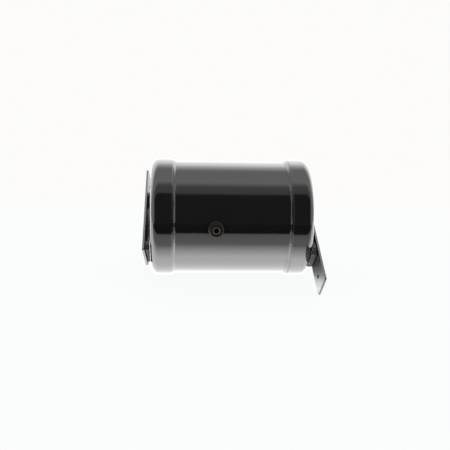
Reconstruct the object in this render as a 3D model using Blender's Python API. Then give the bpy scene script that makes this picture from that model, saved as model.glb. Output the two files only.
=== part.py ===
"""Welded steel hydraulic reservoir: a rolled shell with two dished heads, two plugged ports and two end bars.

Metres, +Z up. The tank's axis is X, the origin is the middle of that axis, and -Y is the front.
"""

import math

import bmesh
import bpy
from mathutils import Matrix, Vector

GAP = 0.0003  # left between pieces that touch

# Shell and heads
SHELL_R = 0.127  # 10 in outside diameter
SHELL_WALL = 0.003
SHELL_HALF = 0.1505
HEAD_WALL = 0.00475
SKIRT_R = SHELL_R + GAP + HEAD_WALL
SKIRT_START = 0.1298
SKIRT_END = 0.159
KNUCKLE_R = 0.0174
CROWN_RISE = 0.0221
ROUND_STEPS = 72

# Welds
GIRTH_WIDE = 0.0089  # along the shell
GIRTH_TALL = 0.0043
SEAM_ANGLE = math.radians(-25)  # above the rear horizontal
SEAM_WIDTH = 0.007
SEAM_HEIGHT = 0.0012

# Ports: a coupling welded into the shell, closed by a socket plug with an O-ring
PORT_X = -0.0358
RETURN_X = 0.063
COUPLING_R = 0.0143
COUPLING_BORE_R = 0.0105
COUNTERBORE_R = 0.0126
COUNTERBORE_DEEP = 0.0054
COUPLING_OUT = 0.0152  # stands out of the shell
COUPLING_IN = 0.0105  # reaches in from the shell's outer face
PORT_WELD_LEG = 0.0025
PLUG_HEAD_R = 0.0122
PLUG_SINK = 0.0005
PLUG_HEAD = 0.0026
PLUG_NECK_R = 0.0090
PLUG_SHANK_R = 0.0101
PLUG_LONG = 0.0185
SOCKET_FLATS = 0.0095  # 3/8 in hexagon key
SOCKET_DEEP = 0.0085
SOCKET_CHAMFER_R = 0.0072
RING_R = 0.01055
RING_WIRE_R = 0.0008
PORT_STEPS = 40

# Mounting bars, measured along each bar from the tank's axis, front end positive
BAR_SLOPE = math.radians(25.5)  # falls towards the front
BAR_CANT = math.radians(10)  # turned about its own length
BAR_WIDE = 0.0484
BAR_THICK = 0.0045
BAR_EDGE_RISE = 0.0021  # of the front edge, above the tank's axis
BAR_STANDOFF = 0.1814  # inner face at the back edge, along X
RIGHT_BAR_SPAN = (-0.240, 0.2115)
LEFT_BAR_SPAN = (-0.1865, 0.118)
BAR_HOLE_R = 0.00675
BAR_HOLE_END = 0.039
BAR_HOLE_EDGE = 0.0274
BAR_CORNER_R = 0.003
BAR_WELD_SPAN = (0.082, 0.125)  # along the bar, to the head's rim
LEFT_WELD_SPAN = (0.082, 0.1115)
BAR_WELD_REACH = 0.1308  # the furthest that weld metal follows the knuckle round
BAR_WELD_EDGE = 0.004  # left clear along the bar's back edge
BAR_WELD_SWELL = 0.004
FRONT_WELD_WIDE = 0.038
BACK_WELD_WIDE = 0.021
EDGE_OUT = BAR_WIDE * math.sin(BAR_CANT)  # the front edge lies this much further out than the back edge

# Inside
BAFFLE_X = (-0.095, 0.065)
BAFFLE_THICK = 0.003
BAFFLE_R = SHELL_R - SHELL_WALL - GAP
BAFFLE_SPAN = (math.radians(100), math.radians(260))  # from the top, round through the front
BAFFLE_HOLE_R = 0.016
BAFFLE_HOLE = (-0.058, -0.047)  # (y, z)
TUBE_R = 0.0080
TUBE_BORE_R = 0.0062
TUBE_START = -0.1158  # y, just inside the front coupling
TUBE_BEND = 0.025
TUBE_BEND_START = -0.087
TUBE_FOOT = -0.042
STRAINER_R = 0.019
STRAINER_LONG = 0.040
STRAINER_WALL = 0.0016


def clear_scene():
    for obj in list(bpy.data.objects):
        bpy.data.objects.remove(obj, do_unlink=True)


def material(name, color, roughness, metallic):
    mat = bpy.data.materials.new(name)
    mat.use_nodes = True
    shader = mat.node_tree.nodes["Principled BSDF"]
    shader.inputs["Base Color"].default_value = (*color, 1)
    shader.inputs["Roughness"].default_value = roughness
    shader.inputs["Metallic"].default_value = metallic
    return mat


def gloss_black(name):
    return material(name, (0.012, 0.012, 0.013), 0.12, 0.0)


def dark_steel(name):
    return material(name, (0.035, 0.030, 0.027), 0.35, 0.6)


def bare_steel(name):
    return material(name, (0.42, 0.41, 0.40), 0.45, 1.0)


def nitrile(name):
    return material(name, (0.02, 0.02, 0.02), 0.6, 0.0)


def add_object(name, bm, mat):
    bmesh.ops.remove_doubles(bm, verts=bm.verts, dist=1e-7)
    bmesh.ops.recalc_face_normals(bm, faces=bm.faces)
    mesh = bpy.data.meshes.new(name)
    bm.to_mesh(mesh)
    bm.free()
    obj = bpy.data.objects.new(name, mesh)
    bpy.context.collection.objects.link(obj)
    obj.data.materials.append(mat)
    return obj


def lathe(profile, steps, frame=None):
    """A closed solid from (distance along the axis, radius) points, turned about the frame's Z."""
    bm = bmesh.new()
    rings = [[bm.verts.new(spin_point(a, r, k, steps)) for k in range(steps)] for a, r in profile]
    for this, following in zip(rings, rings[1:] + rings[:1]):
        for k in range(steps):
            j = (k + 1) % steps
            corners = [this[k], this[j], following[j], following[k]]
            if len({tuple(round(c, 8) for c in v.co) for v in corners}) >= 3:
                bm.faces.new(corners)
    bmesh.ops.remove_doubles(bm, verts=bm.verts, dist=1e-7)
    bmesh.ops.transform(bm, matrix=frame or Matrix.Identity(4), verts=bm.verts)
    return bm


def spin_point(along, radius, step, steps):
    turn = 2 * math.pi * step / steps
    return Vector((radius * math.cos(turn), radius * math.sin(turn), along))


def lying_frame(side):
    """Carries a lathe's Z onto the tank's axis, towards +X for side 1 and -X for side -1."""
    return Matrix.Rotation(side * math.pi / 2, 4, "Y")


def arc(center, radius, start, end, steps):
    """Points (along, radius) on an arc, its angle measured from the radial direction towards the axis."""
    angles = [start + (end - start) * k / steps for k in range(steps + 1)]
    return [(center[0] + radius * math.sin(t), center[1] + radius * math.cos(t)) for t in angles]


def cut(target, cutter):
    cutter.hide_render = True
    cutter.display_type = "WIRE"
    boolean = target.modifiers.new("cut_" + cutter.name, "BOOLEAN")
    boolean.operation = "DIFFERENCE"
    boolean.solver = "EXACT"
    boolean.object = cutter


# Heads


def crown_radius(knuckle_r, rise):
    """The crown sphere that meets the knuckle smoothly."""
    knuckle_center = SKIRT_R - KNUCKLE_R
    return (rise**2 + knuckle_center**2 - knuckle_r**2) / (2 * (rise - knuckle_r))


def head_face(grow, steps):
    """The knuckle and crown, grown outward by a distance, from the skirt to the axis."""
    crown = crown_radius(KNUCKLE_R, CROWN_RISE)
    center = SKIRT_END + CROWN_RISE - crown
    meet = math.pi / 2 - math.asin((SKIRT_R - KNUCKLE_R) / (crown - KNUCKLE_R))
    knuckle = arc((SKIRT_END, SKIRT_R - KNUCKLE_R), KNUCKLE_R + grow, 0, meet, steps)
    return knuckle + arc((center, 0), crown + grow, meet, math.pi / 2, steps // 2)[1:]


def head_surface(radius, grow):
    """How far along X the head's outer face is, at a distance from the axis."""
    crown = crown_radius(KNUCKLE_R, CROWN_RISE) + grow
    center = SKIRT_END + CROWN_RISE + grow - crown
    edge = (SKIRT_R - KNUCKLE_R) * crown / (crown - KNUCKLE_R - grow)
    if radius <= edge:
        return center + math.sqrt(crown**2 - radius**2)
    out = radius - (SKIRT_R - KNUCKLE_R)
    return SKIRT_END + math.sqrt(max((KNUCKLE_R + grow) ** 2 - out**2, 0))


def head(name, side):
    outer = [(SKIRT_START, SKIRT_R)] + head_face(0, 10)
    inner = head_face(-HEAD_WALL, 8)[::-1] + [(SKIRT_START, SKIRT_R - HEAD_WALL)]
    return add_object(name, lathe(outer + inner, ROUND_STEPS, lying_frame(side)), gloss_black(name))


# Shell and its welds


def shell():
    inner = SHELL_R - SHELL_WALL
    profile = [(-SHELL_HALF, SHELL_R), (SHELL_HALF, SHELL_R), (SHELL_HALF, inner), (-SHELL_HALF, inner)]
    tube = add_object("shell", lathe(profile, ROUND_STEPS, lying_frame(1)), gloss_black("shell"))
    for side, along in ((-1, PORT_X), (1, RETURN_X)):
        cut(tube, port_cutter(side, along))
    return tube


def girth_weld(name, side):
    """A broad, low bead that runs from the skirt's edge down to the shell."""
    foot = SHELL_R + GAP
    toe = SKIRT_START - GAP
    slope = ((0, 0), (1, 0), (0.82, 0.22), (0.58, 0.55), (0.3, 0.85), (0, 1))
    profile = [(toe - wide * GIRTH_WIDE, foot + tall * GIRTH_TALL) for wide, tall in slope]
    return add_object(name, lathe(profile, ROUND_STEPS, lying_frame(side)), gloss_black(name))


def seam_section(x):
    """The bead's section on the shell, at one place along X."""
    half = SEAM_WIDTH / 2 / SHELL_R
    foot, crest = SHELL_R + 2 * GAP, SHELL_R + 2 * GAP + SEAM_HEIGHT
    middle = (foot + 2 * crest) / 3
    spots = ((-half, foot), (0, foot), (half, foot), (half / 2, middle), (0, crest), (-half / 2, middle))
    angles = [(SEAM_ANGLE + turn, radius) for turn, radius in spots]
    return [Vector((x, radius * math.cos(a), radius * math.sin(a))) for a, radius in angles]


def seam_weld():
    half = SKIRT_START - GIRTH_WIDE - 3 * GAP
    return add_object("shell_seam_weld", loft([seam_section(-half), seam_section(half)]), gloss_black("seam"))


def loft(sections):
    """A closed solid through sections with the same number of points."""
    bm = bmesh.new()
    rows = [[bm.verts.new(point) for point in section] for section in sections]
    for this, following in zip(rows, rows[1:]):
        for k in range(len(this)):
            j = (k + 1) % len(this)
            bm.faces.new((this[k], this[j], following[j], following[k]))
    bm.faces.new(rows[0])
    bm.faces.new(rows[-1])
    return bm


# Ports


def port_frame(side, along):
    """Z points out of the port, and its origin is on the tank's axis. Side -1 is the front."""
    return Matrix.Translation((along, 0, 0)) @ Matrix.Rotation(-side * math.pi / 2, 4, "X")


def port_cutter(side, along):
    radius = COUPLING_R + GAP
    profile = [(0.09, 0), (0.09, radius), (0.14, radius), (0.14, 0)]
    name = "hole_" + ("front" if side < 0 else "rear")
    return add_object(name, lathe(profile, PORT_STEPS, port_frame(side, along)), bare_steel(name))


def coupling(name, side, along):
    outer, inner = SHELL_R + COUPLING_OUT, SHELL_R - COUPLING_IN
    shoulder = outer - COUNTERBORE_DEEP
    bevel = 0.0006
    profile = [
        (inner, COUPLING_BORE_R),
        (inner, COUPLING_R),
        (outer - bevel, COUPLING_R),
        (outer, COUPLING_R - bevel),
        (outer, COUNTERBORE_R),
        (shoulder, COUNTERBORE_R),
        (shoulder, COUPLING_BORE_R),
    ]
    return add_object(name, lathe(profile, PORT_STEPS, port_frame(side, along)), gloss_black(name))


def saddle_height(radius, turn):
    """The shell's outer face above the tank's axis, at a place around a port."""
    return math.sqrt(SHELL_R**2 - (radius * math.sin(turn)) ** 2)


def port_weld(name, side, along):
    foot = COUPLING_R + GAP
    section = ((0, 0), (0, 1), (0.45, 0.72), (0.8, 0.3), (1, 0))
    bm = bmesh.new()
    rings = []
    for k in range(PORT_STEPS):
        turn = 2 * math.pi * k / PORT_STEPS
        ring = []
        for out, up in section:
            radius = foot + out * PORT_WELD_LEG
            height = saddle_height(radius, turn) + 2 * GAP + up * PORT_WELD_LEG
            ring.append(bm.verts.new((radius * math.cos(turn), radius * math.sin(turn), height)))
        rings.append(ring)
    for this, following in zip(rings, rings[1:] + rings[:1]):
        for k in range(len(section)):
            j = (k + 1) % len(section)
            bm.faces.new((this[k], this[j], following[j], following[k]))
    bmesh.ops.transform(bm, matrix=port_frame(side, along), verts=bm.verts)
    return add_object(name, bm, gloss_black(name))


def plug(name, side, along):
    face = SHELL_R + COUPLING_OUT - PLUG_SINK
    neck = face - PLUG_HEAD
    shank = face + PLUG_SINK - COUNTERBORE_DEEP - GAP
    chamfer = 0.0008
    profile = [
        (face - chamfer, 0),
        (face - chamfer, SOCKET_CHAMFER_R - chamfer),
        (face, SOCKET_CHAMFER_R),
        (face, PLUG_HEAD_R - chamfer / 2),
        (face - chamfer / 2, PLUG_HEAD_R),
        (neck, PLUG_HEAD_R),
        (neck, PLUG_NECK_R),
        (shank, PLUG_NECK_R),
        (shank, PLUG_SHANK_R),
        (face - PLUG_LONG + chamfer, PLUG_SHANK_R),
        (face - PLUG_LONG, PLUG_SHANK_R - chamfer),
        (face - PLUG_LONG, 0),
    ]
    body = add_object(name, lathe(profile, PORT_STEPS, port_frame(side, along)), dark_steel(name))
    cut(body, socket_cutter(name + "_socket", side, along, face))
    return body


def socket_cutter(name, side, along, face):
    corner = SOCKET_FLATS / 2 / math.cos(math.pi / 6)
    profile = [(face - SOCKET_DEEP, 0), (face - SOCKET_DEEP, corner), (face + 0.005, corner), (face + 0.005, 0)]
    return add_object(name, lathe(profile, 6, port_frame(side, along)), dark_steel(name))


def o_ring(name, side, along):
    middle = SHELL_R + COUPLING_OUT - PLUG_SINK - PLUG_HEAD - GAP - RING_WIRE_R
    turns = [2 * math.pi * k / 10 for k in range(10)]
    profile = [(middle + RING_WIRE_R * math.sin(t), RING_R + RING_WIRE_R * math.cos(t)) for t in turns]
    return add_object(name, lathe(profile, PORT_STEPS, port_frame(side, along)), nitrile(name))


def port(name, side, along):
    coupling(name + "_coupling", side, along)
    port_weld(name + "_weld", side, along)
    plug(name + "_plug", side, along)
    o_ring(name + "_o_ring", side, along)


# Mounting bars


def bar_axes(side):
    """The bar's length (falling to the front), its width (rising to its front edge) and its outward normal."""
    along = Vector((0, -math.cos(BAR_SLOPE), -math.sin(BAR_SLOPE)))
    upright = Vector((0, -math.sin(BAR_SLOPE), math.cos(BAR_SLOPE)))
    outward = Vector((side, 0, 0))
    width = math.cos(BAR_CANT) * upright + math.sin(BAR_CANT) * outward
    normal = math.cos(BAR_CANT) * outward - math.sin(BAR_CANT) * upright
    return along, width, normal


def bar_frame(side):
    """X runs along the bar, Y to its front edge at 0, and Z out from its inner face at 0."""
    along, width, normal = bar_axes(side)
    upright = Vector((0, -math.sin(BAR_SLOPE), math.cos(BAR_SLOPE)))
    origin = Vector((side * (BAR_STANDOFF + EDGE_OUT), 0, 0)) + upright * BAR_EDGE_RISE
    frame = Matrix((along, width, normal)).transposed().to_4x4()
    return Matrix.Translation(origin) @ frame


def bar_outline(span):
    """The bar's outline in its own plane, with rounded corners, anticlockwise."""
    start, end = span
    corners = ((end, 0, 0), (start, 0, 1), (start, -BAR_WIDE, 2), (end, -BAR_WIDE, 3))
    points = []
    for x, y, quarter in corners:
        cx = x - BAR_CORNER_R if x == end else x + BAR_CORNER_R
        cy = y - BAR_CORNER_R if y == 0 else y + BAR_CORNER_R
        for k in range(4):
            turn = (quarter + k / 3) * math.pi / 2
            points.append((cx + BAR_CORNER_R * math.cos(turn), cy + BAR_CORNER_R * math.sin(turn)))
    return points


def bar(name, side, span, holes):
    """A flat bar with bolt holes at the given places along it."""
    outline = bar_outline(span)
    bm = loft([[Vector((x, y, z)) for x, y in outline] for z in (0, BAR_THICK)])
    frame = bar_frame(side)
    bmesh.ops.transform(bm, matrix=frame, verts=bm.verts)
    plate = add_object(name, bm, gloss_black(name))
    for k, x in enumerate(holes):
        place = frame @ Matrix.Translation((x, -BAR_HOLE_EDGE, 0))
        profile = [(-0.01, 0), (-0.01, BAR_HOLE_R), (0.01, BAR_HOLE_R), (0.01, 0)]
        cutter = add_object(f"{name}_hole_{k}", lathe(profile, 28, place), bare_steel(name + "_hole"))
        cut(plate, cutter)
    return plate


def bar_inner_x(y, z):
    """How far out along X a bar's inner face is, over a point of the head."""
    _, _, normal = bar_axes(1)
    origin = bar_frame(1).translation
    return origin.x - (normal.y * (y - origin.y) + normal.z * (z - origin.z)) / normal.x


def bar_weld(name, side, start, end, wide):
    """Weld metal between a head and its bar, filling the wedge from start to end along the bar."""
    frame = bar_frame(1)
    rows, columns = 7, 5
    low, high = [], []
    for i in range(rows + 1):
        swell = BAR_WELD_SWELL * math.sin(math.pi * i / rows)
        for j in range(columns + 1):
            x = start + (end - start) * i / rows
            y = -BAR_WIDE + BAR_WELD_EDGE - swell + (wide + 2 * swell) * j / columns
            spot = frame @ Vector((x, y, 0))
            radius = min(math.hypot(spot.y, spot.z), BAR_WELD_REACH)
            low.append(Vector((side * head_surface(radius, 3 * GAP), spot.y, spot.z)))
            high.append(Vector((side * (bar_inner_x(spot.y, spot.z) - 1.5 * GAP), spot.y, spot.z)))
    return add_object(name, slab(low, high, rows, columns), gloss_black(name))


def slab(low, high, rows, columns):
    """A closed solid between two grids of the same size."""
    bm = bmesh.new()
    under = [bm.verts.new(p) for p in low]
    over = [bm.verts.new(p) for p in high]
    wide = columns + 1
    for i in range(rows):
        for j in range(columns):
            a, b, c, d = i * wide + j, i * wide + j + 1, (i + 1) * wide + j + 1, (i + 1) * wide + j
            bm.faces.new((under[a], under[b], under[c], under[d]))
            bm.faces.new((over[d], over[c], over[b], over[a]))
    rim = list(range(wide)) + [(i + 1) * wide - 1 for i in range(1, rows + 1)]
    rim += [rows * wide + j for j in range(columns - 1, -1, -1)] + [i * wide for i in range(rows - 1, 0, -1)]
    for a, b in zip(rim, rim[1:] + rim[:1]):
        bm.faces.new((under[a], under[b], over[b], over[a]))
    return bm


# Inside


def baffle(name, along):
    """A plate across the front half of the tank, with a flow hole near the bottom."""
    first, last = BAFFLE_SPAN
    steps = 32
    edge = [first + (last - first) * k / steps for k in range(steps + 1)]
    outline = [(BAFFLE_R * math.cos(a), BAFFLE_R * math.sin(a)) for a in edge]
    ends = (along - BAFFLE_THICK / 2, along + BAFFLE_THICK / 2)
    bm = loft([[Vector((x, y, z)) for y, z in outline] for x in ends])
    plate = add_object(name, bm, bare_steel(name))
    place = Matrix.Translation((along, *BAFFLE_HOLE)) @ Matrix.Rotation(math.pi / 2, 4, "Y")
    profile = [(-0.01, 0), (-0.01, BAFFLE_HOLE_R), (0.01, BAFFLE_HOLE_R), (0.01, 0)]
    cut(plate, add_object(name + "_hole", lathe(profile, 24, place), bare_steel(name + "_hole")))
    return plate


def suction_tube():
    """A stand pipe from inside the front coupling, running level and then down to the strainer."""
    outline = [Vector((PORT_X, y, z)) for y, z in tube_route()]
    bm = bmesh.new()
    rings = []
    for k, middle in enumerate(outline):
        ahead = outline[min(k + 1, len(outline) - 1)] - outline[max(k - 1, 0)]
        rings.append(tube_ring(bm, middle, ahead.normalized()))
    for this, following in zip(rings, rings[1:]):
        join_rings(bm, this[0], following[0])
        join_rings(bm, this[1], following[1])
    for outer, inner in (rings[0], rings[-1]):
        join_rings(bm, outer, inner)
    return add_object("suction_tube", bm, bare_steel("suction_tube"))


def tube_route():
    """(y, z) points: out of the coupling, round a bend, and down."""
    turns = [math.pi / 2 * k / 6 for k in range(7)]
    curve = [(TUBE_BEND_START + TUBE_BEND * math.sin(t), -TUBE_BEND * (1 - math.cos(t))) for t in turns]
    return [(TUBE_START, 0)] + curve + [(TUBE_BEND_START + TUBE_BEND, TUBE_FOOT)]


def tube_ring(bm, middle, direction):
    side = Vector((1, 0, 0))
    up = direction.cross(side)
    turns = [2 * math.pi * k / 16 for k in range(16)]
    around = [side * math.cos(t) + up * math.sin(t) for t in turns]
    outer = [bm.verts.new(middle + v * TUBE_R) for v in around]
    inner = [bm.verts.new(middle + v * TUBE_BORE_R) for v in around]
    return outer, inner


def join_rings(bm, this, following):
    for k in range(len(this)):
        j = (k + 1) % len(this)
        bm.faces.new((this[k], this[j], following[j], following[k]))


def strainer():
    """A closed-end mesh basket, modelled as a thin cup that the tube ends in."""
    top = TUBE_FOOT - GAP
    wall = STRAINER_WALL
    profile = [
        (top - STRAINER_LONG, 0),
        (top - STRAINER_LONG, STRAINER_R),
        (top, STRAINER_R),
        (top, TUBE_BORE_R),
        (top - wall, TUBE_BORE_R),
        (top - wall, STRAINER_R - wall),
        (top - STRAINER_LONG + wall, STRAINER_R - wall),
        (top - STRAINER_LONG + wall, 0),
    ]
    place = Matrix.Translation((PORT_X, TUBE_BEND_START + TUBE_BEND, 0))
    return add_object("suction_strainer", lathe(profile, 28, place), bare_steel("suction_strainer"))


def main():
    clear_scene()
    shell()
    head("left_head", -1)
    head("right_head", 1)
    girth_weld("left_girth_weld", -1)
    girth_weld("right_girth_weld", 1)
    seam_weld()
    port("front_port", -1, PORT_X)
    port("rear_port", 1, RETURN_X)
    back, front = RIGHT_BAR_SPAN
    bar("right_mount_bar", 1, RIGHT_BAR_SPAN, (back + BAR_HOLE_END, front - BAR_HOLE_END))
    bar("left_mount_bar", -1, LEFT_BAR_SPAN, (LEFT_BAR_SPAN[0] + BAR_HOLE_END,))
    for word, side in (("right", 1), ("left", -1)):
        start, end = BAR_WELD_SPAN if side > 0 else LEFT_WELD_SPAN
        bar_weld(word + "_bar_front_weld", side, start, end, FRONT_WELD_WIDE)
        bar_weld(word + "_bar_back_weld", side, -BAR_WELD_SPAN[1], -BAR_WELD_SPAN[0], BACK_WELD_WIDE)
    baffle("left_baffle", BAFFLE_X[0])
    baffle("right_baffle", BAFFLE_X[1])
    suction_tube()
    strainer()


main()
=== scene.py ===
"""Looks for the welded steel reservoir: gloss black paint, weld beads, dark plugs and a soft white studio."""

import math

import bpy
from mathutils import Matrix, Vector, noise


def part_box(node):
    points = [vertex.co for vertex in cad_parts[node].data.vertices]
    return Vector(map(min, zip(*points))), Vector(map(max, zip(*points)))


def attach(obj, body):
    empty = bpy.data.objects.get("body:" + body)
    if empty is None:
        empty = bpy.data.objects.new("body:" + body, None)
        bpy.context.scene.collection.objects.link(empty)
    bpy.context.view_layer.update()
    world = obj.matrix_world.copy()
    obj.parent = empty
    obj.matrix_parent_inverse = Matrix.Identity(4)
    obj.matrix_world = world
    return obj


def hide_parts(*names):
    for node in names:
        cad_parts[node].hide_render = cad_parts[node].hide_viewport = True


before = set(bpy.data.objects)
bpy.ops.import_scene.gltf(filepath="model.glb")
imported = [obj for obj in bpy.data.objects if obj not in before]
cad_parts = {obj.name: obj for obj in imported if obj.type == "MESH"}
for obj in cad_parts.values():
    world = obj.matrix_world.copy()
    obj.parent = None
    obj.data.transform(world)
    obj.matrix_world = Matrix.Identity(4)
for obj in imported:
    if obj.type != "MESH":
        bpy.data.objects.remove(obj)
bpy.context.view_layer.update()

# Sizes that part.py sets and a box can't show, in metres
GAP = 0.0003
KNUCKLE_R = 0.0174
CROWN_RISE = 0.0221
HEAD_WALL = 0.00475
SHELL_WALL = 0.003
THREAD_PITCH = 0.001814

SHELL_LOW, SHELL_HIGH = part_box("shell")
SHELL_R = SHELL_HIGH.z
HEAD_LOW, HEAD_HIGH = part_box("right_head")
SKIRT_R = HEAD_HIGH.z
FLOOR_Z = HEAD_LOW.z
ROUND = 256

# A girth bead's section: (share of its width from the skirt, share of its height)
BEAD_SECTION = (
    (0, 0),
    (1, 0),
    (0.92, 0.03),
    (0.82, 0.11),
    (0.70, 0.25),
    (0.57, 0.43),
    (0.43, 0.62),
    (0.30, 0.78),
    (0.16, 0.90),
    (0, 0.97),
)

# The long seam's section: (share of its half width, share of its height)
SEAM_SECTION = ((-1, 0), (0, 0), (1, 0), (0.8, 0.5), (0.4, 0.88), (0, 1), (-0.4, 0.88), (-0.8, 0.5))

# The table as gloss paint sees it: (0 five radii in front of the tank to 1 under it, brightness)
TABLE_GLOW = (
    (0.30, 0.0),
    (0.35, 0.15),
    (0.65, 0.20),
    (0.80, 0.80),
    (1.00, 0.50),
)

# The tent as gloss paint sees it, dark at the camera's side: (degrees up from the front, brightness)
TENT = (
    (-60, 0.60),
    (-25, 0.01),
    (57, 0.01),
    (60, 0.13),
    (75, 0.15),
    (85, 0.40),
    (120, 0.30),
    (145, 0.95),
    (180, 0.60),
)


# Node helpers


class Nodes:
    """A material's node tree, with short ways to add and join nodes."""

    def __init__(self, tree):
        self.tree = tree
        self.tree.nodes.clear()

    def add(self, kind, **settings):
        node = self.tree.nodes.new(kind)
        for key, value in settings.items():
            setattr(node, key, value)
        return node

    def join(self, source, target):
        self.tree.links.new(source, target)

    def math(self, operation, first, second):
        node = self.add("ShaderNodeMath", operation=operation)
        for socket, value in zip(node.inputs, (first, second)):
            if isinstance(value, (int, float)):
                socket.default_value = value
            else:
                self.join(value, socket)
        return node.outputs[0]

    def ramp(self, source, stops):
        node = self.add("ShaderNodeValToRGB")
        elements = node.color_ramp.elements
        while len(elements) > 1:
            elements.remove(elements[-1])
        for k, (place, color) in enumerate(stops):
            element = elements[0] if k == 0 else elements.new(place)
            element.position = place
            element.color = (*color, 1) if isinstance(color, tuple) else (color, color, color, 1)
        self.join(source, node.inputs["Fac"])
        return node.outputs["Color"]

    def noise(self, position, scale, detail, roughness=0.5):
        node = self.add("ShaderNodeTexNoise")
        node.inputs["Scale"].default_value = scale
        node.inputs["Detail"].default_value = detail
        node.inputs["Roughness"].default_value = roughness
        self.join(position, node.inputs["Vector"])
        return node.outputs["Fac"]

    def bump(self, height, strength, distance, under=None):
        node = self.add("ShaderNodeBump")
        node.inputs["Strength"].default_value = strength
        node.inputs["Distance"].default_value = distance
        self.join(height, node.inputs["Height"])
        if under is not None:
            self.join(under, node.inputs["Normal"])
        return node.outputs["Normal"]


def new_material(name):
    mat = bpy.data.materials.new(name)
    mat.use_nodes = True
    nodes = Nodes(mat.node_tree)
    shader = nodes.add("ShaderNodeBsdfPrincipled")
    output = nodes.add("ShaderNodeOutputMaterial")
    nodes.join(shader.outputs[0], output.inputs["Surface"])
    position = nodes.add("ShaderNodeTexCoord").outputs["Object"]
    return mat, nodes, shader, position


# Materials


def black_paint(name, index, smooth, rubbed):
    """Powder coat: a deep black gloss with fine orange peel, thin dust and rubbed patches."""
    mat, nodes, shader, position = new_material(name)
    dust = nodes.ramp(nodes.noise(position, 900, 2), [(0.70, 0.005), (0.78, 0.02)])
    nodes.join(dust, shader.inputs["Base Color"])
    rub = nodes.ramp(nodes.noise(position, 14, 5, 0.6), [(0.35, smooth), (0.75, rubbed)])
    nodes.join(rub, shader.inputs["Roughness"])
    shader.inputs["IOR"].default_value = index
    peel = nodes.bump(nodes.noise(position, 420, 1), 0.10, 0.0002)
    wave = nodes.bump(nodes.noise(position, 28, 2), 0.10, 0.0006, peel)
    nodes.join(wave, shader.inputs["Normal"])
    return mat


def weld_paint(name, scale, depth, roughness, index):
    """Paint over weld metal: darker, rougher and lumpy, with bright edges on the ripples."""
    mat, nodes, shader, position = new_material(name)
    shader.inputs["Base Color"].default_value = (0.008, 0.006, 0.005, 1)
    rough = nodes.ramp(nodes.noise(position, 300, 3), [(0.3, roughness), (0.7, roughness + 0.25)])
    nodes.join(rough, shader.inputs["Roughness"])
    shader.inputs["IOR"].default_value = index
    lumps = nodes.bump(nodes.noise(position, scale, 4, 0.65), 0.9, depth)
    nodes.join(lumps, shader.inputs["Normal"])
    return mat


def plug_steel(name, along):
    """Black phosphated steel, brown with old sealant, with a lighter ring at the socket's rim that is a
    painted highlight on its chamfer.
    """
    mat, nodes, shader, position = new_material(name)
    where = nodes.add("ShaderNodeSeparateXYZ")
    nodes.join(position, where.inputs[0])
    aside = nodes.math("SUBTRACT", where.outputs["X"], along)
    flat = nodes.add("ShaderNodeCombineXYZ")
    nodes.join(aside, flat.inputs[0])
    nodes.join(where.outputs["Z"], flat.inputs[1])
    length = nodes.add("ShaderNodeVectorMath", operation="LENGTH")
    nodes.join(flat.outputs[0], length.inputs[0])
    radius = nodes.math("MULTIPLY", length.outputs["Value"], 50.0)
    # The lighter grey ring at the socket's chamfer is a painted highlight, set in the base colour.
    rim_highlight_colors = [(0.30, (0.008, 0.007, 0.006)), (0.345, (0.20, 0.185, 0.17)), (0.40, (0.02, 0.016, 0.013))]
    painted_rim_highlight = nodes.ramp(radius, rim_highlight_colors)
    stain = nodes.ramp(nodes.noise(position, 160, 4), [(0.45, (0.7, 0.7, 0.7)), (0.7, (1.35, 1.1, 0.9))])
    tint = nodes.add("ShaderNodeMix", data_type="RGBA", blend_type="MULTIPLY")
    tint.inputs["Factor"].default_value = 1.0
    nodes.join(painted_rim_highlight, tint.inputs["A"])
    nodes.join(stain, tint.inputs["B"])
    nodes.join(tint.outputs["Result"], shader.inputs["Base Color"])
    shader.inputs["Metallic"].default_value = 0.6
    rough = nodes.ramp(nodes.noise(position, 700, 3), [(0.3, 0.32), (0.7, 0.5)])
    nodes.join(rough, shader.inputs["Roughness"])
    nodes.join(nodes.bump(nodes.noise(position, 1500, 2), 0.25, 0.0001), shader.inputs["Normal"])
    return mat


def oiled_steel():
    mat, nodes, shader, position = new_material("oiled_steel")
    tint = nodes.ramp(nodes.noise(position, 60, 5), [(0.3, (0.22, 0.21, 0.20)), (0.7, (0.36, 0.34, 0.32))])
    nodes.join(tint, shader.inputs["Base Color"])
    shader.inputs["Metallic"].default_value = 1.0
    rough = nodes.ramp(nodes.noise(position, 200, 4), [(0.3, 0.25), (0.7, 0.5)])
    nodes.join(rough, shader.inputs["Roughness"])
    return mat


def nitrile_rubber():
    mat, nodes, shader, position = new_material("nitrile_rubber")
    shader.inputs["Base Color"].default_value = (0.012, 0.012, 0.012, 1)
    shader.inputs["Roughness"].default_value = 0.55
    nodes.join(nodes.bump(nodes.noise(position, 1200, 2), 0.15, 0.0001), shader.inputs["Normal"])
    return mat


# Mesh helpers


def add_piece(name, points, faces, mat, body, *nodes):
    mesh = bpy.data.meshes.new(name)
    mesh.from_pydata([tuple(p) for p in points], [], faces)
    mesh.validate()
    obj = bpy.data.objects.new(name, mesh)
    bpy.context.scene.collection.objects.link(obj)
    mesh.shade_smooth()
    mesh.set_sharp_from_angle(angle=math.radians(35))
    mesh.materials.append(mat)
    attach(obj, body)
    if nodes:
        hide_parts(*nodes)
    return obj


def wrap(rings, closed_around=True, closed_along=True):
    """Faces over rings of points, each ring the same length."""
    count, size = len(rings), len(rings[0])
    points = [p for ring in rings for p in ring]
    faces = []
    for i in range(count if closed_around else count - 1):
        n = (i + 1) % count
        for j in range(size if closed_along else size - 1):
            m = (j + 1) % size
            faces.append((i * size + j, n * size + j, n * size + m, i * size + m))
    return points, faces


def lathe(profile, steps, place):
    """Rings of a closed (along X, radius) profile, turned about the X axis."""
    rings = []
    for k in range(steps):
        turn = 2 * math.pi * k / steps
        ring = [place @ Vector((a, r * math.cos(turn), r * math.sin(turn))) for a, r in profile]
        rings.append(ring)
    return wrap(rings)


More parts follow.
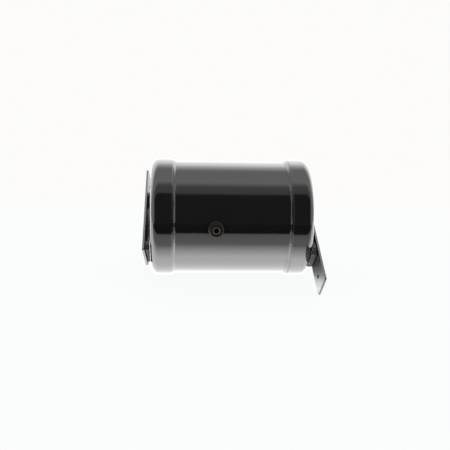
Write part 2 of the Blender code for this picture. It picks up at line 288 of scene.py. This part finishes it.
def arc(center, radius, start, end, steps):
    angles = [start + (end - start) * k / steps for k in range(steps + 1)]
    return [(center[0] + radius * math.sin(t), center[1] + radius * math.cos(t)) for t in angles]


def side_frame(side):
    return Matrix.Identity(4) if side > 0 else Matrix.Rotation(math.pi, 4, "Z")


# Shell and heads


def head_profile(start, tangent):
    """Skirt, knuckle and crown, outside then inside, with eased edges."""
    ease = 0.0004
    knuckle_center = SKIRT_R - KNUCKLE_R
    crown = (CROWN_RISE**2 + knuckle_center**2 - KNUCKLE_R**2) / (2 * (CROWN_RISE - KNUCKLE_R))
    center = tangent + CROWN_RISE - crown
    meet = math.pi / 2 - math.asin(knuckle_center / (crown - KNUCKLE_R))
    tip = math.pi / 2 - 0.0006

    def face(grow, steps):
        knuckle = arc((tangent, knuckle_center), KNUCKLE_R + grow, 0, meet, steps)
        return knuckle + arc((center, 0), crown + grow, meet, tip, steps)[1:]

    inner_r = SKIRT_R - HEAD_WALL
    outer = [(start, SKIRT_R - ease), (start + ease, SKIRT_R)] + face(0, 28)
    return outer + face(-HEAD_WALL, 14)[::-1] + [(start, inner_r)]


def make_head(word, side, paint):
    low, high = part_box(word + "_head")
    start = min(abs(low.x), abs(high.x))
    tangent = max(abs(low.x), abs(high.x)) - CROWN_RISE
    points, faces = lathe(head_profile(start, tangent), ROUND, side_frame(side))
    return add_piece(word + "_head_skin", points, faces, paint, "tank", word + "_head")


def port_places():
    """For each port: its name, the side it points to (-1 is the front) and where it is along X."""
    for name in ("front_port", "rear_port"):
        low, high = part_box(name + "_coupling")
        yield name, 1 if high.y > 0 else -1, (low.x + high.x) / 2, (high.x - low.x) / 2


def make_shell(paint):
    half, inner = SHELL_HIGH.x, SHELL_R - SHELL_WALL
    profile = [(-half, SHELL_R), (half, SHELL_R), (half, inner), (-half, inner)]
    points, faces = lathe(profile, ROUND, Matrix.Identity(4))
    skin = add_piece("shell_skin", points, faces, paint, "tank", "shell")
    for name, side, along, radius in port_places():
        bpy.ops.mesh.primitive_cylinder_add(vertices=96, radius=radius + GAP, depth=0.06)
        bpy.context.object.location = (along, side * SHELL_R, 0)
        bpy.context.object.rotation_euler = (math.pi / 2, 0, 0)
        cutter = bpy.context.object
        hole = skin.modifiers.new("hole_" + name, "BOOLEAN")
        hole.object = cutter
        hole.operation = "DIFFERENCE"
        bake_modifiers(skin)
        bpy.data.objects.remove(cutter, do_unlink=True)
    skin.data.shade_smooth()
    skin.data.set_sharp_from_angle(angle=math.radians(35))
    return skin


def bake_modifiers(obj):
    graph = bpy.context.evaluated_depsgraph_get()
    mesh = bpy.data.meshes.new_from_object(obj.evaluated_get(graph))
    obj.modifiers.clear()
    obj.data = mesh


# Weld beads


def ripple(turns, pace):
    """The stacked-coin ripple of a hand-laid bead, from 0 to 1, at a place along it."""
    drift = 0.35 * noise.noise(Vector((turns * 9.0, 0.3, 0)))
    phase = (turns * pace + drift) % 1.0
    return 1 - abs(2 * phase - 1) ** 1.6


def make_girth_weld(word, side, paint):
    low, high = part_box(word + "_girth_weld")
    toe, tail = max(abs(low.x), abs(high.x)), min(abs(low.x), abs(high.x))
    foot, top = SHELL_R + GAP, high.z
    leg, rise, steps = toe - tail, top - foot, 1440
    rings = []
    for k in range(steps):
        turn = 2 * math.pi * k / steps
        lift = 0.96 + 0.04 * ripple(k / steps, 90)
        spread = 0.88 + 0.12 * noise.noise(Vector((math.cos(turn) * 5, math.sin(turn) * 5, side)))
        ring = []
        for out, up in BEAD_SECTION:
            radius = foot + up * rise * lift
            place = Vector((toe - out * leg * spread, radius * math.cos(turn), radius * math.sin(turn)))
            ring.append(side_frame(side) @ place)
        rings.append(ring)
    points, faces = wrap(rings)
    return add_piece(word + "_girth_bead", points, faces, paint, "tank", word + "_girth_weld")


def make_port_weld(name, side, along, paint):
    low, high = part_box(name + "_weld")
    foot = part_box(name + "_coupling")[1].x - along + GAP
    steps, leg = 360, (high.x - low.x) / 2 - foot
    rings = []
    for k in range(steps):
        turn = 2 * math.pi * k / steps
        lift = 0.78 + 0.22 * ripple(k / steps, 34)
        spread = 0.92 + 0.08 * noise.noise(Vector((math.cos(turn) * 4, math.sin(turn) * 4, side * 3)))
        ring = []
        for out, up in ((0, 0), (0, 1), (0.3, 0.86), (0.6, 0.6), (0.85, 0.28), (1, 0)):
            radius = foot + out * leg * spread
            base = math.sqrt(SHELL_R**2 - (radius * math.sin(turn)) ** 2) + 2 * GAP
            height = base + up * leg * lift
            ring.append(Vector((along + radius * math.cos(turn), side * height, radius * math.sin(turn))))
        rings.append(ring)
    points, faces = wrap(rings)
    return add_piece(name + "_bead", points, faces, paint, "tank", name + "_weld")


def make_bar_weld(node, paint):
    """Rough built-up weld metal between a head and its bar: the CAD lump, made lumpy."""
    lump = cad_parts[node].copy()
    lump.data = lump.data.copy()
    for key in [k for k in lump.keys() if k.startswith("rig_")]:
        del lump[key]
    lump.name = node + "_metal"
    bpy.context.scene.collection.objects.link(lump)
    weld = lump.modifiers.new("weld", "WELD")
    weld.merge_threshold = 0.00002
    finer = lump.modifiers.new("finer", "SUBSURF")
    finer.subdivision_type = "SIMPLE"
    finer.levels = finer.render_levels = 3
    lump.parent = None
    bake_modifiers(lump)
    middle = sum((v.co for v in lump.data.vertices), Vector()) / len(lump.data.vertices)
    for vertex in lump.data.vertices:
        inward = (middle - vertex.co).normalized()
        depth = 0.5 + 0.5 * noise.fractal(vertex.co * 260, 0.8, 2.0, 3)
        vertex.co += inward * (0.0022 * max(depth, 0))
    lump.data.shade_smooth()
    lump.data.materials.clear()
    lump.data.materials.append(paint)
    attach(lump, "tank")
    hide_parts(node)
    return lump


def make_seam_bead(paint):
    """The shell's long seam, a narrow bead along the back."""
    low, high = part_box("shell_seam_weld")
    middle = math.atan2((low.z + high.z) / 2, (low.y + high.y) / 2)
    half, foot, steps = 0.0033 / SHELL_R, SHELL_R + 2 * GAP, 900
    rings = []
    for k in range(steps + 1):
        x = low.x + (high.x - low.x) * k / steps
        lift = 0.75 + 0.25 * ripple(k / steps, 120)
        ring = []
        for across, up in SEAM_SECTION:
            angle, radius = middle + across * half, foot + up * 0.0011 * lift
            ring.append(Vector((x, radius * math.cos(angle), radius * math.sin(angle))))
        rings.append(ring)
    points, faces = wrap(rings, closed_around=False)
    size = len(rings[0])
    faces += [tuple(range(size))[::-1], tuple(range(steps * size, (steps + 1) * size))]
    return add_piece("shell_seam_bead", points, faces, paint, "tank", "shell_seam_weld")


# Plug threads


def make_thread(name, side, along, mat):
    """The helical ridge on a plug's shank, seen once it is unscrewed."""
    low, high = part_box(name + "_plug")
    tip = min(abs(low.y), abs(high.y)) + 0.0012
    turns, steps, root, crest = 6, 48, 0.01008, 0.01040
    rings = []
    for k in range(turns * steps + 1):
        turn = 2 * math.pi * k / steps
        out = tip + THREAD_PITCH * k / steps
        fade = min(1, k / 24, (turns * steps - k) / 24)
        ring = []
        for offset, radius in ((-0.3, root), (0, root + (crest - root) * fade), (0.3, root)):
            height = out + offset * THREAD_PITCH
            ring.append(Vector((along + radius * math.cos(turn), side * height, radius * math.sin(turn))))
        rings.append(ring)
    points, faces = wrap(rings, closed_around=False)
    return add_piece(name + "_plug_thread", points, faces, mat, name.split("_")[0] + "_plug")


# CAD nodes that keep their own shape


def dress(node, mat, bevel=0.0):
    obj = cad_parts[node]
    obj.data.materials.clear()
    obj.data.materials.append(mat)
    if bevel:
        edge = obj.modifiers.new("eased_edges", "BEVEL")
        edge.width = bevel
        edge.segments = 2
        edge.limit_method = "ANGLE"
        edge.angle_limit = math.radians(40)


# Studio


def make_floor():
    """A pale table. The camera sees it even, and gloss paint sees it lit near the tank only."""
    wide, front, back = 12 * SHELL_R, -24 * SHELL_R, 6.1 * SHELL_R
    points = [(-wide, front, FLOOR_Z), (wide, front, FLOOR_Z), (wide, back, FLOOR_Z), (-wide, back, FLOOR_Z)]
    mesh = bpy.data.meshes.new("table_top")
    mesh.from_pydata(points, [], [(0, 1, 2, 3)])
    floor = bpy.data.objects.new("table_top", mesh)
    bpy.context.scene.collection.objects.link(floor)
    mat, nodes, shader, _ = new_material("table_white")
    shader.inputs["Base Color"].default_value = (0.86, 0.86, 0.875, 1)
    shader.inputs["Roughness"].default_value = 0.8
    output = next(n for n in nodes.tree.nodes if n.type == "OUTPUT_MATERIAL")
    where = nodes.add("ShaderNodeSeparateXYZ")
    nodes.join(nodes.add("ShaderNodeNewGeometry").outputs["Position"], where.inputs[0])
    across = nodes.math("DIVIDE", where.outputs["Y"], SHELL_R)
    fade = nodes.math("MULTIPLY_ADD", across, 0.2)
    fade.node.inputs[2].default_value = 1.0
    glow = nodes.ramp(fade, TABLE_GLOW)
    lit = nodes.add("ShaderNodeEmission")
    lit.inputs["Strength"].default_value = 4.8
    nodes.join(glow, lit.inputs["Color"])
    even = nodes.add("ShaderNodeEmission")
    even.inputs["Color"].default_value = (0.956, 0.973, 0.965, 1)
    soft = nodes.add("ShaderNodeMixShader")
    soft.inputs[0].default_value = 0.04
    nodes.join(even.outputs[0], soft.inputs[1])
    nodes.join(shader.outputs[0], soft.inputs[2])
    pick = nodes.add("ShaderNodeMixShader")
    nodes.join(nodes.add("ShaderNodeLightPath").outputs["Is Glossy Ray"], pick.inputs[0])
    nodes.join(soft.outputs[0], pick.inputs[1])
    nodes.join(lit.outputs[0], pick.inputs[2])
    nodes.join(pick.outputs[0], output.inputs["Surface"])
    mesh.materials.append(mat)


def make_world():
    """A pale wall to the camera, the tent to gloss paint, and one soft light to everything else."""
    world = bpy.data.worlds.new("light_tent")
    bpy.context.scene.world = world
    world.use_nodes = True
    nodes = Nodes(world.node_tree)
    where = nodes.add("ShaderNodeSeparateXYZ")
    nodes.join(nodes.add("ShaderNodeTexCoord").outputs["Generated"], where.inputs[0])
    ahead = nodes.math("MULTIPLY", where.outputs["Y"], -1.0)
    angle = nodes.math("ARCTAN2", where.outputs["Z"], ahead)
    spread = nodes.math("DIVIDE", angle, 2 * math.pi)
    share = nodes.math("ADD", spread, 0.5)
    tent = nodes.ramp(share, [(degrees / 360 + 0.5, value) for degrees, value in TENT])
    sideways = nodes.math("ABSOLUTE", where.outputs["X"], 0.0)
    wall = nodes.ramp(sideways, [(0.80, 0.0), (0.92, 1.0)])
    mix = nodes.add("ShaderNodeMix", data_type="RGBA")
    nodes.join(wall, mix.inputs["Factor"])
    nodes.join(tent, mix.inputs["A"])
    mix.inputs["B"].default_value = (0.36, 0.36, 0.36, 1)
    seen = world_light(nodes, mix.outputs["Result"], 3.0)
    path = nodes.add("ShaderNodeLightPath")
    soft = nodes.add("ShaderNodeBackground")
    soft.inputs["Color"].default_value = (1.0, 0.99, 0.985, 1)
    soft.inputs["Strength"].default_value = 1.35
    pick = nodes.add("ShaderNodeMixShader")
    nodes.join(path.outputs["Is Glossy Ray"], pick.inputs[0])
    nodes.join(soft.outputs[0], pick.inputs[1])
    nodes.join(seen, pick.inputs[2])
    wall_color = nodes.add("ShaderNodeBackground")
    wall_color.inputs["Color"].default_value = (0.973, 0.965, 0.947, 1)
    shown = nodes.add("ShaderNodeMixShader")
    nodes.join(path.outputs["Is Camera Ray"], shown.inputs[0])
    nodes.join(pick.outputs[0], shown.inputs[1])
    nodes.join(wall_color.outputs[0], shown.inputs[2])
    nodes.join(shown.outputs[0], nodes.add("ShaderNodeOutputWorld").inputs["Surface"])


def world_light(nodes, color, strength):
    light = nodes.add("ShaderNodeBackground")
    light.inputs["Strength"].default_value = strength
    nodes.join(color, light.inputs["Color"])
    return light.outputs[0]


def make_camera():
    """In front and a little above, turned 4 degrees past the left end, with a slight roll."""
    far, up, aside = 13.04 * SHELL_R, 2.80 * SHELL_R, -0.066 * SHELL_R
    turn, pitch, roll = math.radians(4.0), math.radians(12.75), math.radians(1.27)
    data = bpy.data.cameras.new("camera")
    data.sensor_width = 36
    data.lens = 58.9
    camera = bpy.data.objects.new("camera", data)
    bpy.context.scene.collection.objects.link(camera)
    bpy.context.scene.camera = camera
    place = Matrix.Rotation(-turn, 4, "Z") @ Matrix.Translation((aside, -far, up))
    aim = Matrix.Rotation(math.pi / 2 - pitch, 4, "X") @ Matrix.Rotation(roll, 4, "Z")
    camera.matrix_world = place @ aim


def main():
    paint = black_paint("gloss_black_paint", 1.8, 0.055, 0.13)
    bar_paint = black_paint("satin_black_paint", 2.2, 0.32, 0.42)
    bead = weld_paint("painted_bead", 900, 0.0003, 0.25, 1.42)
    rough = weld_paint("rough_weld", 520, 0.0014, 0.10, 1.6)
    collar = weld_paint("rough_collar", 1100, 0.0003, 0.40, 1.38)
    steel, rubber = oiled_steel(), nitrile_rubber()
    make_shell(paint)
    for word, side in (("left", -1), ("right", 1)):
        make_head(word, side, paint)
        make_girth_weld(word, side, paint)
        make_bar_weld(word + "_bar_front_weld", rough)
        make_bar_weld(word + "_bar_back_weld", rough)
        dress(word + "_mount_bar", bar_paint, 0.0006)
        dress(word + "_baffle", steel)
    for name, side, along, _ in port_places():
        make_port_weld(name, side, along, bead)
        plug = plug_steel(name + "_plug_steel", along)
        make_thread(name, side, along, plug)
        dress(name + "_coupling", collar, 0.0002)
        dress(name + "_plug", plug)
        dress(name + "_o_ring", rubber)
    make_seam_bead(bead)
    dress("suction_tube", steel)
    dress("suction_strainer", steel)
    make_floor()
    make_world()
    make_camera()
    bpy.context.scene.view_settings.view_transform = "Standard"


main()
